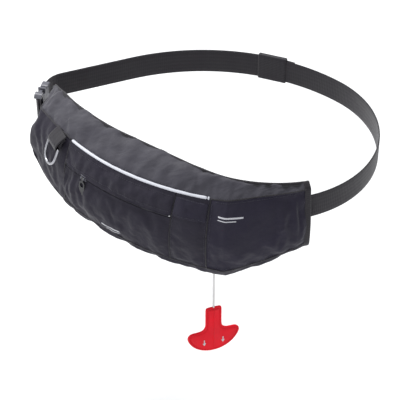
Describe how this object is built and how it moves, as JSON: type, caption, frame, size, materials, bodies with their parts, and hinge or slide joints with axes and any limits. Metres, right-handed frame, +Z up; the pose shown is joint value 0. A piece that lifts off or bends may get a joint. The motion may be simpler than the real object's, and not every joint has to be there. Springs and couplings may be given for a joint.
{
  "type": "belt-pack inflatable life jacket",
  "caption": "Slim curved waist pack holding a folded buoyancy cell, on a webbing belt with a side-release buckle and a half-moon pull tab on a cord.",
  "frame": {"origin": "centre of the waist loop, at the mid-height of the belt webbing", "axes": "+Z up along the wearer, -Y out of the front of the pack, +X to the end with the pull tab"},
  "size_m": [0.4907, 0.3854, 0.302],
  "materials": {
    "fabric_shell": "matt",
    "fabric_top": "matt",
    "fabric_right": "matt",
    "fabric_back": "matt",
    "webbing": "matt",
    "hook_and_loop": "matt",
    "reflective_tape": "satin",
    "zip_tape": "matt",
    "zip_coil": "gloss",
    "nickel": "satin",
    "grey_plastic": "matt",
    "black_plastic": "matt",
    "chromed_steel": "polished",
    "cell_fabric": "satin",
    "seal_rubber": "matt",
    "steel": "satin",
    "yellow_plastic": "matt",
    "red_plastic": "gloss",
    "green_plastic": "gloss",
    "white_cord": "matt",
    "tab_red": "satin"
  },
  "bodies": {
    "pack": {"back_panel": "fabric_back", "top_panel": "fabric_top", "left_end_panel": "fabric_right", "right_panel": "fabric_right", "right_end_binding": "webbing", "bottom_panel": "fabric_shell", "front_panel": "fabric_shell", "closure_hook_tape": "hook_and_loop", "closure_loop_tape": "hook_and_loop", "reflective_piping": "reflective_tape", "pocket_upper_strip": "fabric_shell", "pocket_panel": "fabric_shell", "zip_tapes": "zip_tape", "zip_coil": "zip_coil", "zip_stops": "nickel", "flap_pocket_panel": "fabric_shell", "ring_tab": "webbing", "belt_webbing": "webbing", "belt_tail": "webbing", "socket_webbing": "webbing", "buckle_socket": "grey_plastic", "buckle_plug": "grey_plastic", "inflation_cell": "cell_fabric", "manifold": "black_plastic", "manifold_seal": "seal_rubber", "retaining_nut": "steel", "inflator_body": "yellow_plastic", "cylinder_seal": "seal_rubber", "co2_cylinder": "steel", "lever_pin": "steel", "pin_spring": "steel", "indicator_clip": "green_plastic", "oral_tube": "black_plastic", "neck_strap": "webbing", "cord_grommet": "black_plastic"},
    "zip_slider": {"zip_slider": "grey_plastic"},
    "zip_pull": {"zip_pull": "black_plastic"},
    "pocket_flap": {"pocket_flap": "fabric_shell"},
    "d_ring": {"d_ring": "chromed_steel"},
    "belt_keeper": {"belt_keeper": "webbing"},
    "prong_upper": {"prong_upper": "grey_plastic"},
    "prong_lower": {"prong_lower": "grey_plastic"},
    "lever": {"inflator_lever": "red_plastic"},
    "piercing_pin": {"piercing_pin": "steel"},
    "oral_valve": {"oral_valve": "red_plastic"},
    "dust_cap": {"dust_cap": "red_plastic"},
    "pull_handle": {"pull_cord": "white_cord", "pull_tab": "tab_red"}
  },
  "joints": [
    {"name": "pull_tab_pull", "type": "slide", "parent": "pack", "child": "pull_handle", "axis": [0, 0, -1], "range_m": [0, 0.024], "stiffness_N_per_m": 200, "springref_m": -0.02},
    {"name": "lever_turn", "type": "hinge", "parent": "pack", "child": "lever", "pos_m": [0.102, -0.175, -0.022], "axis": [0, 1, 0], "range_deg": [0, 60.1]},
    {"name": "pin_push", "type": "slide", "parent": "pack", "child": "piercing_pin", "axis": [-1, 0, 0], "range_m": [0, 0.0035]},
    {"name": "zip_slide", "type": "hinge", "parent": "pack", "child": "zip_slider", "pos_m": [-0.005, 0.17, -0.008], "axis": [0, 0, 1], "range_deg": [0, 20]},
    {"name": "zip_pull_swing", "type": "hinge", "parent": "zip_slider", "child": "zip_pull", "pos_m": [-0.075, -0.20767, -0.008], "axis": [-0.9833, 0.1822, 0], "range_deg": [0, 130]},
    {"name": "flap_lift", "type": "hinge", "parent": "pack", "child": "pocket_flap", "pos_m": [0.09331, -0.18692, 0.02], "axis": [-0.9641, -0.2656, 0], "range_deg": [0, 110]},
    {"name": "ring_swing", "type": "hinge", "parent": "pack", "child": "d_ring", "pos_m": [-0.14198, -0.18684, 0.01], "axis": [-0.8572, 0.515, 0], "range_deg": [0, 85]},
    {"name": "prong_upper_press", "type": "hinge", "parent": "pack", "child": "prong_upper", "pos_m": [-0.22934, -0.10592, 0.015], "axis": [0.9336, 0.3584, 0], "range_deg": [0, 11], "stiffness_Nm_per_rad": 0.5},
    {"name": "prong_lower_press", "type": "hinge", "parent": "pack", "child": "prong_lower", "pos_m": [-0.22934, -0.10592, -0.015], "axis": [-0.9336, -0.3584, 0], "range_deg": [0, 11], "stiffness_Nm_per_rad": 0.5},
    {"name": "keeper_slide", "type": "hinge", "parent": "pack", "child": "belt_keeper", "pos_m": [0.06597, -0.11881, 0], "axis": [0, 0, 1], "range_deg": [-1.5, 24]},
    {"name": "dust_cap_pull", "type": "slide", "parent": "pack", "child": "dust_cap", "axis": [1, 0, 0], "range_m": [0, 0.016]},
    {"name": "oral_valve_press", "type": "slide", "parent": "pack", "child": "oral_valve", "axis": [-1, 0, 0], "range_m": [0, 0.003], "stiffness_N_per_m": 500, "springref_m": -0.002}
  ],
  "couplings": [
    {"joint": "lever_turn", "follows": "pull_tab_pull", "rad_per_m": 43.633},
    {"joint": "pin_push", "follows": "pull_tab_pull", "ratio": 0.14167},
    {"joint": "prong_lower_press", "follows": "prong_upper_press", "ratio": 1}
  ]
}
